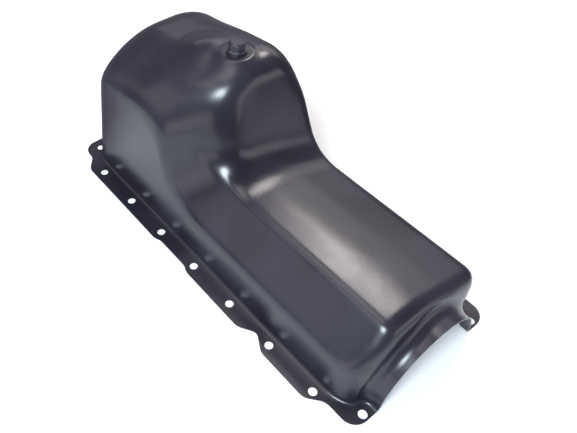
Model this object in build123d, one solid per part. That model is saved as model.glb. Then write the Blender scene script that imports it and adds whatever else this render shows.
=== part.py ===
"""Engine oil pan: a deep drawn steel pressing with a drain plug, a sealing washer and a weld nut.

Frame: millimetres, +Z up. The pan lies upside down on its rail, so Z = 0 is the gasket face of the
rail and the sump points up. +X is the front of the engine, X = 0 the middle of the rail's length,
and Y = 0 the middle line. The side of negative Y is the near side, the other one the far side.
"""
from build123d import *
from math import cos, hypot, radians, sin, tan
import os

# ---------------------------------------------------------------- driving dimensions, mm and degrees
SHEET = 1.4                     # steel sheet of the pressing

# rail: the flat flange that is bolted to the engine block
RAIL_LENGTH = 541.4             # overall, along X
RAIL_HALF_WIDTH = 124.4         # middle line to the outer edge beside the side bolts
TAB_STEP_BACK = 15.2            # the four corner tabs are this much narrower on each side
TAB_CORNER_RADIUS = 18.0
REAR_TAB_LENGTH = 27.0          # rail end to the slanted step up to the wide part
FRONT_TAB_LENGTH = 41.0
STEP_LENGTH = 18.0              # slanted step between tab and wide part
STEP_RADIUS = 18.0

# bolt holes
BOLT_HOLE = 10.3                # diameter
BOLT_PITCH = 70.0               # along each side
SIDE_BOLTS = 7                  # on each side, between the corner tabs
SIDE_BOLT_INSET = 12.3          # outer edge to the side bolts
FIRST_SIDE_BOLT = 64.0          # rail's rear end to the first side bolt
CORNER_BOLT_INSET = 19.9        # a tab's outer edge to its bolt
REAR_CORNER_BOLT = 16.0         # rail's rear end to the rear corner bolts
FRONT_CORNER_BOLT = 7.5         # rail's front end to the front corner bolts

# notches in both outer edges of the rail
LONG_NOTCH = 70.0               # length at the edge
LONG_NOTCH_FLOOR = 50.0
LONG_NOTCH_DEPTH = 3.9
LONG_NOTCH_MIDDLE = 240.5       # rail's rear end to the middle of the notch
LONG_NOTCH_RADIUS = 18.0
SHORT_NOTCH = 42.0
SHORT_NOTCH_DEPTH = 12.8
SHORT_NOTCH_MIDDLE = 393.5
SHORT_NOTCH_EDGE_RADIUS = 16.0
SHORT_NOTCH_ROOT_RADIUS = 8.0

# body: outside of the sheet, at the gasket face
FLANGE_WIDTH = 24.4             # rail's outer edge to the side walls
REAR_WALL_INSET = 18.0          # rail's rear end to the rear wall
FRONT_WALL_INSET = 10.4         # rail's front end to the front wall
NEAR_DRAFT = 6.5                # lean of the walls from upright
FAR_DRAFT = 5.3
REAR_DRAFT = 3.4
FRONT_DRAFT = 9.0
REAR_CORNER_RADIUS = 38.0       # upright corners of the body
FRONT_CORNER_RADIUS = 36.0
BEND_RADIUS = 4.0               # hollow bends between rail, walls and end saddles

# shallow front part
FLOOR_HEIGHT = 96.4
FLOOR_NEAR_EDGE = 50.0          # middle line to the floor's near edge
NEAR_BEVEL_SLOPE = 46.0         # from level
FLOOR_RIDGE = 8.0               # middle line to the ridge where the floor starts to fall away
FAR_SLOPE = 13.5                # fall of the floor's far part
SHALLOW_EDGE_RADIUS = 15.0

# sump
SUMP_HEIGHT = 207.0             # at the drain plug
BOTTOM_SLOPE = 7.9              # the bottom gets deeper to the front
SUMP_FOOT = 263.8               # rail's rear end to the sump's front wall, at the floor's height
SUMP_FRONT_LEAN = 19.0
SUMP_EDGE_RADIUS = 33.0
NEAR_CORNER_TURN = 35.6         # the face that cuts the near front corner, turned from the side
NEAR_CORNER_LEAN = 12.5
NEAR_CORNER_FROM_MIDDLE = 33.8  # middle line to where that face meets the front wall
CORNER_SHOULDER_HEIGHT = 172.0  # top of that face
CORNER_SHOULDER_LEAN = 36.0
SHOULDER_SLOPE = 43.0           # long near shoulder, from level
SHOULDER_TURN = 6.4             # it narrows to the rear
SHOULDER_FROM_MIDDLE = 28.2     # middle line to its upper edge, at the drain plug
SEAM_RADIUS = 22.0              # hollow bend between sump and shallow part

# end saddles: half rings that take the end seals
SADDLE_RADIUS = 73.0            # inside

# drain pad, plug, washer and nut on one upright axis
DRAIN_FROM_REAR = 192.0         # rail's rear end to the axis
DRAIN_FROM_MIDDLE = 20.0        # middle line to the axis, on the far side
PAD_DIAMETER = 38.0
PAD_RISE = 2.0
PAD_DRAFT = 45.0
PAD_DEPTH = 12.0                # the pad's cone runs into the bottom this far below its top
THREAD_DIAMETER = 12.7
THREAD_REACH = 17.0             # below the collar
THREAD_CHAMFER = 1.0
THREAD_CLEARANCE = 0.15         # on the radius
COLLAR_DIAMETER = 24.0
COLLAR_HEIGHT = 2.6
HEX_ACROSS_FLATS = 17.5
HEX_HEIGHT = 10.0
HEX_CROWN_DIAMETER = 14.4       # flat round top inside the rounded-off corners
HEX_CROWN_SLOPE = 30.0          # from level
WASHER_DIAMETER = 22.0
WASHER_THICKNESS = 1.5
NUT_DIAMETER = 26.0
NUT_HEIGHT = 9.0
NUT_CHAMFER = 1.0

# pressed dome beside the drain pad
DOME_DIAMETER = 40.0            # on the bottom
DOME_RISE = 5.0
DOME_BEHIND_DRAIN = 48.0
DOME_FROM_MIDDLE = 5.0          # on the far side

# ---------------------------------------------------------------- derived places
TAB_HALF_WIDTH = RAIL_HALF_WIDTH - TAB_STEP_BACK
SIDE_BOLT_HALF_SPAN = RAIL_HALF_WIDTH - SIDE_BOLT_INSET
CORNER_BOLT_HALF_SPAN = TAB_HALF_WIDTH - CORNER_BOLT_INSET
BODY_HALF_WIDTH = RAIL_HALF_WIDTH - FLANGE_WIDTH
REAR_END = -RAIL_LENGTH / 2
FRONT_END = RAIL_LENGTH / 2
DRAIN_X = REAR_END + DRAIN_FROM_REAR
DRAIN_Y = DRAIN_FROM_MIDDLE
PAD_TOP = SUMP_HEIGHT + PAD_RISE
ROUGH = 2 * RAIL_LENGTH         # rough solids are larger than the pan
ROUGH_DEPTH = 2 * SUMP_EDGE_RADIUS
CUTTER_OVERHANG = 10.0          # cutters stick out past the rail's outline by this much
NEAR_ZERO = SHEET / 100         # lengths below this count as none

UP = (Align.CENTER, Align.CENTER, Align.MIN)      # a solid that stands on its place
DOWN = (Align.CENTER, Align.CENTER, Align.MAX)    # a solid that hangs from its place


def heading(azimuth, tilt):
    """Unit vector: azimuth from +X towards +Y, tilt up from level."""
    a, t = radians(azimuth), radians(tilt)
    return Vector(cos(a) * cos(t), sin(a) * cos(t), sin(t))


# each face of the body: a point on the outside of the sheet and the outward normal
SUMP_FRONT_FOOT = REAR_END + SUMP_FOOT
NEAR_WALL = (Vector(0, -BODY_HALF_WIDTH, 0), heading(-90, NEAR_DRAFT))
FAR_WALL = (Vector(0, BODY_HALF_WIDTH, 0), heading(90, FAR_DRAFT))
REAR_WALL = (Vector(REAR_END + REAR_WALL_INSET, 0, 0), heading(180, REAR_DRAFT))
FRONT_WALL = (Vector(FRONT_END - FRONT_WALL_INSET, 0, 0), heading(0, FRONT_DRAFT))
NEAR_BEVEL = (Vector(0, -FLOOR_NEAR_EDGE, FLOOR_HEIGHT), heading(-90, 90 - NEAR_BEVEL_SLOPE))
FLOOR = (Vector(0, 0, FLOOR_HEIGHT), heading(0, 90))
FAR_FLOOR = (Vector(0, -FLOOR_RIDGE, FLOOR_HEIGHT), heading(90, 90 - FAR_SLOPE))
INNER_END = (Vector(REAR_END + SUMP_FOOT / 2, 0, 0), heading(180, 0))
SUMP_FRONT = (Vector(SUMP_FRONT_FOOT, 0, FLOOR_HEIGHT), heading(0, SUMP_FRONT_LEAN))
BOTTOM = (Vector(DRAIN_X, DRAIN_Y, SUMP_HEIGHT), heading(180, 90 - BOTTOM_SLOPE))
SHOULDER = (
    Vector(DRAIN_X, -SHOULDER_FROM_MIDDLE, SUMP_HEIGHT),
    heading(-90 - SHOULDER_TURN, 90 - SHOULDER_SLOPE),
)
CORNER_AZIMUTH = NEAR_CORNER_TURN - 90
CORNER_FOOT = Vector(SUMP_FRONT_FOOT, -NEAR_CORNER_FROM_MIDDLE, FLOOR_HEIGHT)
CORNER_RISE = CORNER_SHOULDER_HEIGHT - FLOOR_HEIGHT
CORNER_TOP = CORNER_FOOT + Vector(0, 0, CORNER_RISE) - (
    heading(CORNER_AZIMUTH, 0) * (CORNER_RISE * tan(radians(NEAR_CORNER_LEAN)))
)
NEAR_CORNER = (CORNER_FOOT, heading(CORNER_AZIMUTH, NEAR_CORNER_LEAN))
CORNER_SHOULDER = (CORNER_TOP, heading(CORNER_AZIMUTH, CORNER_SHOULDER_LEAN))

SUMP_FACES = (
    NEAR_WALL, FAR_WALL, REAR_WALL, SUMP_FRONT, BOTTOM, SHOULDER, NEAR_CORNER, CORNER_SHOULDER,
)
SHALLOW_FACES = (NEAR_WALL, FAR_WALL, INNER_END, FRONT_WALL, NEAR_BEVEL, FLOOR, FAR_FLOOR)


# ---------------------------------------------------------------- body
def bounded(faces, inset):
    """Flat-sided solid inside all the faces, each moved inwards by inset."""
    solid = Pos(0, 0, -ROUGH_DEPTH) * Box(ROUGH, ROUGH, ROUGH, align=UP)
    for point, normal in faces:
        outside = Plane(origin=point - normal * inset, z_dir=normal) * Box(
            3 * ROUGH, 3 * ROUGH, 2 * ROUGH, align=UP
        )
        solid = solid - outside
    return solid


def upright_edges(solid, beyond):
    """Edges that run down to the rough underside, on the far side of X = beyond from the seam."""
    edges = []
    for edge in solid.edges():
        low, high = sorted((edge.position_at(0).Z, edge.position_at(1).Z))
        middle = edge.position_at(0.5).X
        if low < 0 and high - low > ROUGH_DEPTH / 2 and (middle - beyond) * beyond > 0:
            edges.append(edge)
    return edges


def rolled(faces, edge_radius, corner_radius, corners_beyond, inset):
    """Solid inside the faces with rolled edges: a smaller core, grown outwards by the edge radius."""
    core = bounded(faces, edge_radius)
    core = fillet(upright_edges(core, corners_beyond), corner_radius - edge_radius)
    return offset(core, amount=edge_radius - inset, kind=Kind.ARC)


def body(inset):
    """Sump and shallow part as one solid, from the outside of the sheet inwards by inset."""
    sump = rolled(
        SUMP_FACES, SUMP_EDGE_RADIUS, REAR_CORNER_RADIUS, REAR_END / 2, inset
    )
    shallow = rolled(
        SHALLOW_FACES, SHALLOW_EDGE_RADIUS, FRONT_CORNER_RADIUS, FRONT_END / 2, inset
    )
    joined = sump + shallow
    seam = new_edges(sump, shallow, combined=joined).filter_by(lambda e: e.position_at(0.5).Z > 0)
    return fillet(seam.sort_by(Axis.Y), SEAM_RADIUS + inset)


# ---------------------------------------------------------------- drain pad and dome
def drain_pad(inset):
    """Flat round pad with a cone side, square to the plug's axis."""
    draft = radians(PAD_DRAFT)
    top_radius = PAD_DIAMETER / 2 + inset * tan(draft) - inset / cos(draft)
    pad = Cone(top_radius + PAD_DEPTH * tan(draft), top_radius, PAD_DEPTH, align=DOWN)
    return Pos(DRAIN_X, DRAIN_Y, PAD_TOP - inset) * pad


def dome(inset):
    """Low spherical dome on the sloping bottom."""
    radius = ((DOME_DIAMETER / 2) ** 2 + DOME_RISE ** 2) / (2 * DOME_RISE)
    point, normal = BOTTOM
    x = DRAIN_X - DOME_BEHIND_DRAIN
    foot = Vector(x, DOME_FROM_MIDDLE, point.Z + (x - point.X) * tan(radians(BOTTOM_SLOPE)))
    centre = foot + normal * (DOME_RISE - radius)
    return Pos(centre) * Sphere(radius - inset)


# ---------------------------------------------------------------- rail
def notch(middle, length, floor, depth):
    """Outline points of a notch in the outer edge, seen on the positive side."""
    edge, root = RAIL_HALF_WIDTH, RAIL_HALF_WIDTH - depth
    points = [(middle - length / 2, edge), (middle - floor / 2, root)]
    if floor:
        points.append((middle + floor / 2, root))
    points.append((middle + length / 2, edge))
    return points


def rail_outline():
    """Half outline from rear to front as points with corner radii, on the positive side."""
    rear_step = REAR_END + REAR_TAB_LENGTH
    front_step = FRONT_END - FRONT_TAB_LENGTH
    long_notch = notch(
        REAR_END + LONG_NOTCH_MIDDLE, LONG_NOTCH, LONG_NOTCH_FLOOR, LONG_NOTCH_DEPTH
    )
    short_notch = notch(REAR_END + SHORT_NOTCH_MIDDLE, SHORT_NOTCH, 0, SHORT_NOTCH_DEPTH)
    short_radii = (SHORT_NOTCH_EDGE_RADIUS, SHORT_NOTCH_ROOT_RADIUS, SHORT_NOTCH_EDGE_RADIUS)
    outline = [
        ((REAR_END, TAB_HALF_WIDTH), TAB_CORNER_RADIUS),
        ((rear_step, TAB_HALF_WIDTH), STEP_RADIUS),
        ((rear_step + STEP_LENGTH, RAIL_HALF_WIDTH), STEP_RADIUS),
    ]
    outline += [(point, LONG_NOTCH_RADIUS) for point in long_notch]
    outline += list(zip(short_notch, short_radii))
    outline += [
        ((front_step - STEP_LENGTH, RAIL_HALF_WIDTH), STEP_RADIUS),
        ((front_step, TAB_HALF_WIDTH), STEP_RADIUS),
        ((FRONT_END, TAB_HALF_WIDTH), TAB_CORNER_RADIUS),
    ]
    return outline


def bolt_places():
    """X and Y of all bolt holes."""
    places = []
    for side in (-1, 1):
        places.append((REAR_END + REAR_CORNER_BOLT, side * CORNER_BOLT_HALF_SPAN))
        for i in range(SIDE_BOLTS):
            x = REAR_END + FIRST_SIDE_BOLT + i * BOLT_PITCH
            places.append((x, side * SIDE_BOLT_HALF_SPAN))
        places.append((FRONT_END - FRONT_CORNER_BOLT, side * CORNER_BOLT_HALF_SPAN))
    return places


def rail_plate():
    """Flat plate of the rail, not yet open in the middle and without holes."""
    half = rail_outline()
    points = [point for point, _ in half] + [(x, -y) for (x, y), _ in reversed(half)]
    radii = [radius for _, radius in half]
    outline = FilletPolyline(*points, radius=radii + radii[::-1], close=True)
    return extrude(make_face(outline), SHEET)


def bolt_drills():
    """One cylinder for each bolt hole of the rail."""
    return [Pos(x, y, 0) * Cylinder(BOLT_HOLE / 2, 4 * SHEET) for x, y in bolt_places()]


# ---------------------------------------------------------------- pressing
def saddle_rods(radius, overhang):
    """Half-round rods along X through both end walls, out to the overhang past the rail's ends."""
    rear_length = overhang + REAR_WALL_INSET + REAR_CORNER_RADIUS
    front_length = overhang + FRONT_WALL_INSET + FRONT_CORNER_RADIUS
    rear = Pos(REAR_END - overhang, 0, 0) * Rot(0, 90, 0) * Cylinder(radius, rear_length, align=UP)
    front = Pos(FRONT_END + overhang, 0, 0) * Rot(0, -90, 0) * Cylinder(
        radius, front_length, align=UP
    )
    return rear, front


def hollow_edges(solid, rod_radius, level):
    """Hollow edges where body and rods meet each other and the flat face at this height."""
    def chosen(edge):
        points = [edge.position_at(t) for t in (0, 0.5, 1)]
        inside = abs(points[1].X) < FRONT_END - SHEET / 2 and abs(points[1].Y) <= BODY_HALF_WIDTH
        flat = all(abs(p.Z - level) < NEAR_ZERO for p in points)
        on_rod = all(abs(hypot(p.Y, p.Z) - rod_radius) < NEAR_ZERO for p in points)
        return inside and (flat or on_rod)
    return solid.edges().filter_by(chosen)


def form(inset, plate, level, overhang):
    """Body and end saddles on a plate, with the hollow edges between them bent round."""
    rod_radius = SADDLE_RADIUS + SHEET - inset
    above = Box(ROUGH, ROUGH, ROUGH, align=UP)
    standing = (body(inset) + list(saddle_rods(rod_radius, overhang))) & above
    joined = standing + plate
    bent = fillet(hollow_edges(joined, rod_radius, level), BEND_RADIUS + inset)
    return bent + drain_pad(inset) + dome(inset)


def pan_pressing():
    """The whole stamping: the outer form less the inner one, a sheet's thickness inside it."""
    below = Box(RAIL_LENGTH + 2 * CUTTER_OVERHANG, ROUGH, ROUGH_DEPTH, align=DOWN)
    outer = form(0, rail_plate(), SHEET, 0)
    inner = form(SHEET, below, 0, CUTTER_OVERHANG)
    drain_hole = Pos(DRAIN_X, DRAIN_Y, PAD_TOP) * Cylinder(
        THREAD_DIAMETER / 2 + THREAD_CLEARANCE, 4 * SHEET
    )
    return outer - inner - drain_hole - bolt_drills()


# ---------------------------------------------------------------- drain hardware
def ring(outer, height, low):
    """Ring on the plug's axis from the height low upwards, with the bore that clears the thread."""
    bore = THREAD_DIAMETER / 2 + THREAD_CLEARANCE
    tube = Cylinder(outer / 2, height, align=UP) - Cylinder(bore, height, align=UP)
    return Pos(DRAIN_X, DRAIN_Y, low) * tube


def drain_nut():
    """Weld nut under the pad, inside the sump."""
    nut = ring(NUT_DIAMETER, NUT_HEIGHT, PAD_TOP - SHEET - NUT_HEIGHT)
    rim = nut.edges().group_by(Axis.Z)[0].sort_by(SortBy.RADIUS)[-1]
    return chamfer(rim, NUT_CHAMFER)


def drain_plug_washer():
    """Flat sealing washer between pad and collar."""
    return ring(WASHER_DIAMETER, WASHER_THICKNESS, PAD_TOP)


def drain_plug():
    """Hex-head plug with a round collar and a plain thread barrel."""
    seat = PAD_TOP + WASHER_THICKNESS
    barrel = Cylinder(THREAD_DIAMETER / 2, THREAD_REACH, align=DOWN)
    barrel = chamfer(barrel.edges().group_by(Axis.Z)[0], THREAD_CHAMFER)
    collar = Cylinder(COLLAR_DIAMETER / 2, COLLAR_HEIGHT, align=UP)
    hexagon = RegularPolygon(HEX_ACROSS_FLATS / 2, 6, major_radius=False)
    crown_spread = HEX_HEIGHT / tan(radians(HEX_CROWN_SLOPE))
    crown_radius = HEX_CROWN_DIAMETER / 2
    crown = Cone(crown_radius + crown_spread, crown_radius, HEX_HEIGHT, align=UP)
    head = Pos(0, 0, COLLAR_HEIGHT) * (extrude(hexagon, HEX_HEIGHT) & crown)
    return Pos(DRAIN_X, DRAIN_Y, seat) * (barrel + collar + head)


def main():
    os.makedirs("parts", exist_ok=True)
    export_step(pan_pressing(), "parts/pan_pressing.step")
    export_step(drain_plug(), "parts/drain_plug.step")
    export_step(drain_plug_washer(), "parts/drain_plug_washer.step")
    export_step(drain_nut(), "parts/drain_nut.step")


main()
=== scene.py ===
"""Looks of an engine oil pan: black paint over the pressing, a detailed drain plug, floor and lights.

Laid out as a Blender add-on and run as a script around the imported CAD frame. Lengths are metres.
The pan lies upside down on its rail: +X is the engine's front, +Z points out of the sump.
"""

import math

import bmesh
import bpy
import numpy as np
from bpy.props import FloatProperty, FloatVectorProperty, IntProperty, PointerProperty
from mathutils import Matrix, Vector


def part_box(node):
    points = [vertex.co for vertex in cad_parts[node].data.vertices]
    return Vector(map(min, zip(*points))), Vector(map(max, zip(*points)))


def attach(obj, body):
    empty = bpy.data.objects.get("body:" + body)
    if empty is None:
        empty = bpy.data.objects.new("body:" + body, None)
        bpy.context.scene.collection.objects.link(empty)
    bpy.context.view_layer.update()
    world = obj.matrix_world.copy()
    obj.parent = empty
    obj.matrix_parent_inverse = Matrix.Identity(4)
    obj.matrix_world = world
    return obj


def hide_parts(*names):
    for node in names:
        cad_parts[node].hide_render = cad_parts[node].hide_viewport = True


bl_info = {
    "name": "Engine Oil Pan",
    "version": (1, 0, 0),
    "blender": (4, 5, 0),
    "location": "View3D > Sidebar > Oil Pan",
    "description": "Paints a pressed steel oil pan, makes its drain plug and sets up a plain studio",
    "category": "Object",
}

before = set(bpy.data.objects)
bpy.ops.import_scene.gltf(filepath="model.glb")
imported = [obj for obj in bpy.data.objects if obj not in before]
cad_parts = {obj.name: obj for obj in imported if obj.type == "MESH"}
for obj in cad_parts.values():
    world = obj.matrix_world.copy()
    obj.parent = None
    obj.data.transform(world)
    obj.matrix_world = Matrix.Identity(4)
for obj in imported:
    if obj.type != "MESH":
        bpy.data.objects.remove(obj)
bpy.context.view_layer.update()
BODY = "root"
MM = 0.001

PLUG_LOW, PLUG_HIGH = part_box("drain_plug")
PAN_LOW, PAN_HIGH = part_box("pan_pressing")


# ---------------------------------------------------------------- settings
class OilPanPaintSettings(bpy.types.PropertyGroup):
    """Paint of the pressing, the nut and the plug."""
    colour: FloatVectorProperty(
        name="Paint colour", description="Base colour of the black paint", subtype="COLOR",
        size=3, min=0, max=1, default=(0.0088, 0.0080, 0.0145))
    roughness: FloatProperty(
        name="Roughness", description="Mean roughness of the paint film", min=0, max=1,
        default=0.26)
    peel_size: FloatProperty(
        name="Orange peel size", description="Width of one ripple in the paint film",
        unit="LENGTH", min=0.0002, max=0.02, default=0.0035)
    peel_height: FloatProperty(
        name="Orange peel height", description="Strength of the ripple in the paint film",
        min=0, max=1, default=0.035)


class OilPanPressingSettings(bpy.types.PropertyGroup):
    """Pressed steel pan."""
    sheet: FloatProperty(
        name="Sheet", description="Thickness of the steel sheet", unit="LENGTH",
        min=0.0005, max=0.005, default=0.0014)
    shallow_roll: FloatProperty(
        name="Shallow edges", description="Radius of the shallow part's edges",
        unit="LENGTH", min=0.005, max=0.06, default=0.015)
    ridge_roll: FloatProperty(
        name="Ridge", description="Radius of the soft ridge along the shallow part's floor",
        unit="LENGTH", min=0.02, max=1, default=0.25)
    front_roll: FloatProperty(
        name="Front edge", description="Radius of the edge over the front wall",
        unit="LENGTH", min=0.005, max=0.06, default=0.020)
    rear_corner: FloatProperty(
        name="Rear corners", description="Radius of the upright corners at the rear",
        unit="LENGTH", min=0.005, max=0.08, default=0.0325)
    front_corner: FloatProperty(
        name="Front corners", description="Radius of the upright corners at the front",
        unit="LENGTH", min=0.005, max=0.08, default=0.037)
    seam_near: FloatProperty(
        name="Near seam", description="Hollow bend in front of the sump, on the near side",
        unit="LENGTH", min=0.005, max=0.15, default=0.050)
    seam_far: FloatProperty(
        name="Far seam", description="Hollow bend in front of the sump, on the far side",
        unit="LENGTH", min=0.005, max=0.15, default=0.048)
    bend: FloatProperty(
        name="Foot bend", description="Hollow bend between walls and rail", unit="LENGTH",
        min=0.001, max=0.02, default=0.004)
    saddle: FloatProperty(
        name="Saddle", description="Inner radius of the half rings at both ends",
        unit="LENGTH", min=0.03, max=0.09, default=0.073)
    saddle_bend: FloatProperty(
        name="Saddle bend", description="Hollow bend between end walls and half rings",
        unit="LENGTH", min=0.001, max=0.02, default=0.013)
    bolt_hole: FloatProperty(
        name="Bolt holes", description="Diameter of the bolt holes", unit="LENGTH",
        min=0.003, max=0.02, default=0.0103)
    drain_hole: FloatProperty(
        name="Drain hole", description="Diameter of the drain hole", unit="LENGTH",
        min=0.003, max=0.03, default=0.0130)
    columns: IntProperty(
        name="Columns", description="Mesh columns across the body", min=20, max=200,
        default=84)


class OilPanPlugSettings(bpy.types.PropertyGroup):
    """Drain plug."""
    across_flats: FloatProperty(
        name="Across flats", description="Width of the plug's hexagon", unit="LENGTH",
        min=0.005, max=0.05, default=0.0175)
    crown: FloatProperty(
        name="Crown", description="Diameter of the flat top inside the rounded corners",
        unit="LENGTH", min=0.004, max=0.05, default=0.0144)
    collar_height: FloatProperty(
        name="Collar height", description="Thickness of the round collar", unit="LENGTH",
        min=0.001, max=0.01, default=0.0026)
    collar: FloatProperty(
        name="Collar", description="Diameter of the round collar", unit="LENGTH",
        min=0.005, max=0.05, default=0.0240)
    thread: FloatProperty(
        name="Thread", description="Outer diameter of the thread", unit="LENGTH",
        min=0.004, max=0.03, default=0.0127)
    pitch: FloatProperty(
        name="Pitch", description="Distance from one thread crest to the next", unit="LENGTH",
        min=0.0005, max=0.005, default=0.00127)
    reach: FloatProperty(
        name="Reach", description="Length of the thread below the collar", unit="LENGTH",
        min=0.005, max=0.05, default=0.0170)
    around: IntProperty(
        name="Points around", description="Mesh points around the plug", min=24, max=360,
        default=144)


class OilPanStageSettings(bpy.types.PropertyGroup):
    """Floor, lights and camera."""
    floor_colour: FloatVectorProperty(
        name="Floor colour", description="Colour of the floor", subtype="COLOR", size=3,
        min=0, max=1, default=(0.90, 0.90, 0.91))
    # painted shade: darker floor colour towards the rear, seen by all rays but the camera's
    rear_floor_painted_shade: FloatVectorProperty(
        name="Rear floor", description="Colour with which the rear floor throws light back",
        subtype="COLOR", size=3, min=0, max=1, default=(0.16, 0.15, 0.18))
    floor_radius: FloatProperty(
        name="Floor radius", description="Radius of the round floor", unit="LENGTH",
        min=1, max=50, default=1.5)
    surround: FloatVectorProperty(
        name="Surround", description="Even light that comes from the studio's walls",
        subtype="COLOR", size=3, min=0, max=2, default=(0.25, 0.25, 0.28))
    camera_place: FloatVectorProperty(
        name="Camera place", description="Where the camera stands", subtype="XYZ",
        unit="LENGTH", size=3, default=(0.3826, -0.3628, 0.6078))
    camera_turn: FloatProperty(
        name="Camera turn", description="Heading of the camera about the upright axis",
        subtype="ANGLE", default=math.radians(51.42))
    camera_tilt: FloatProperty(
        name="Camera tilt", description="Angle by which the camera looks down from level",
        subtype="ANGLE", default=math.radians(48.64))
    camera_lens: FloatProperty(
        name="Lens", description="Focal length in millimetres", min=10, max=200,
        default=38.33)
    camera_shift: FloatProperty(
        name="Shift", description="Sideways shift of the lens", min=-1, max=1,
        default=0.1073)


# ---------------------------------------------------------------- mesh helpers
def grid_mesh(name, points, closed):
    """Makes an object from a grid of points, whose rows are joined to each other by quads.

    A closed grid's rows run around a ring, and its first and last row are each one repeated
    point, which is merged to a pole with triangles.
    """
    rows, across = points.shape[:2]
    index = np.arange(rows * across).reshape(rows, across)
    if closed:
        index = np.concatenate([index, index[:, :1]], 1)
    a, b = index[:-1], index[1:]
    quads = np.stack([a[:, :-1], b[:, :-1], b[:, 1:], a[:, 1:]], -1).reshape(-1, 4)
    mesh = bpy.data.meshes.new(name)
    mesh.from_pydata(points.reshape(-1, 3).tolist(), [], quads.tolist())
    made = bpy.data.objects.new(name, mesh)
    bpy.context.scene.collection.objects.link(made)
    if closed:
        merge_doubles(made)
    mesh.update()
    return made


def merge_doubles(made, distance=1e-7):
    """Merges points that coincide and turns the faces outwards."""
    bm = bmesh.new()
    bm.from_mesh(made.data)
    bmesh.ops.remove_doubles(bm, verts=bm.verts, dist=distance)
    bmesh.ops.recalc_face_normals(bm, faces=bm.faces)
    bm.to_mesh(made.data)
    bm.free()


def shade_smooth(made, angle):
    """Smooth shading, with edges sharper than the angle kept sharp."""
    mesh = made.data
    mesh.shade_smooth()
    mesh.set_sharp_from_angle(angle=angle)


def finish_piece(piece, material):
    """Gives a piece its material and its body."""
    piece.data.materials.clear()
    piece.data.materials.append(material)
    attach(piece, BODY)


def dress_node(node, material):
    """Gives a CAD node's material slots a new material."""
    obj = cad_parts[node]
    if not obj.material_slots:
        obj.data.materials.append(material)
    for slot in obj.material_slots:
        slot.material = material


# ---------------------------------------------------------------- node groups
def new_group(name, inputs, outputs):
    """Shader node group with float inputs and outputs of given kinds, and its two end nodes."""
    tree = bpy.data.node_groups.new(name, "ShaderNodeTree")
    for label, value in inputs.items():
        socket = tree.interface.new_socket(label, in_out="INPUT", socket_type="NodeSocketFloat")
        socket.default_value = value
    for label, kind in outputs.items():
        tree.interface.new_socket(label, in_out="OUTPUT", socket_type=kind)
    return tree, tree.nodes.new("NodeGroupInput"), tree.nodes.new("NodeGroupOutput")


def add(tree, kind, **values):
    """Adds a node; values name its settings, or its input sockets when they start with in_."""
    node = tree.nodes.new(kind)
    for key, value in values.items():
        if key.startswith("in_"):
            node.inputs[key[3:].replace("_", " ")].default_value = value
        else:
            setattr(node, key, value)
    return node


def math_node(tree, operation, first, second):
    """Math node whose two inputs are links or numbers."""
    node = add(tree, "ShaderNodeMath", operation=operation)
    for socket, value in zip(node.inputs, (first, second)):
        if isinstance(value, (int, float)):
            socket.default_value = value
        else:
            tree.links.new(value, socket)
    return node.outputs[0]


def map_range(tree, value, low, high, to_low, to_high):
    """Smooth remap of a value from one range to another."""
    node = add(tree, "ShaderNodeMapRange", interpolation_type="SMOOTHSTEP",
               in_From_Min=low, in_From_Max=high, in_To_Min=to_low, in_To_Max=to_high)
    tree.links.new(value, node.inputs["Value"])
    return node.outputs["Result"]


# paint film: share of the fine peel in its height, and the noise values between which a mask rises
PEEL_SHARE = 0.35
SHEEN_BAND = (0.35, 0.65)
RUB_BAND = (0.62, 0.74)
# sheared edge: lean of the normal between which a face counts as upright, and its thin paint
UPRIGHT_BAND = (0.2, 0.4)
THIN_BAND = (0.45, 0.7)


def paint_film_group():
    """Film of sprayed paint: fine orange peel, slow ripple, cloudy sheen and a few rubbed places."""
    tree, ins, outs = new_group(
        "paint_film",
        {"Peel Scale": 300.0, "Ripple Scale": 30.0, "Sheen Scale": 12.0},
        {"Height": "NodeSocketFloat", "Sheen": "NodeSocketFloat", "Rub": "NodeSocketFloat"},
    )
    coords = add(tree, "ShaderNodeTexCoord").outputs["Object"]

    def noise(scale, detail, distortion=0.0):
        node = add(tree, "ShaderNodeTexNoise", in_Detail=detail, in_Distortion=distortion)
        tree.links.new(coords, node.inputs["Vector"])
        tree.links.new(ins.outputs[scale], node.inputs["Scale"])
        return node.outputs["Fac"]

    peel = noise("Peel Scale", 1.0)
    ripple = noise("Ripple Scale", 2.0)
    height = math_node(tree, "ADD", math_node(tree, "MULTIPLY", peel, PEEL_SHARE), ripple)
    tree.links.new(height, outs.inputs["Height"])
    sheen = noise("Sheen Scale", 3.0, 0.4)
    tree.links.new(map_range(tree, sheen, *SHEEN_BAND, 0.0, 1.0), outs.inputs["Sheen"])
    rub = add(tree, "ShaderNodeTexNoise", in_Scale=55.0, in_Detail=6.0, in_Roughness=0.7)
    tree.links.new(coords, rub.inputs["Vector"])
    tree.links.new(map_range(tree, rub.outputs["Fac"], *RUB_BAND, 0.0, 1.0), outs.inputs["Rub"])
    return tree


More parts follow.
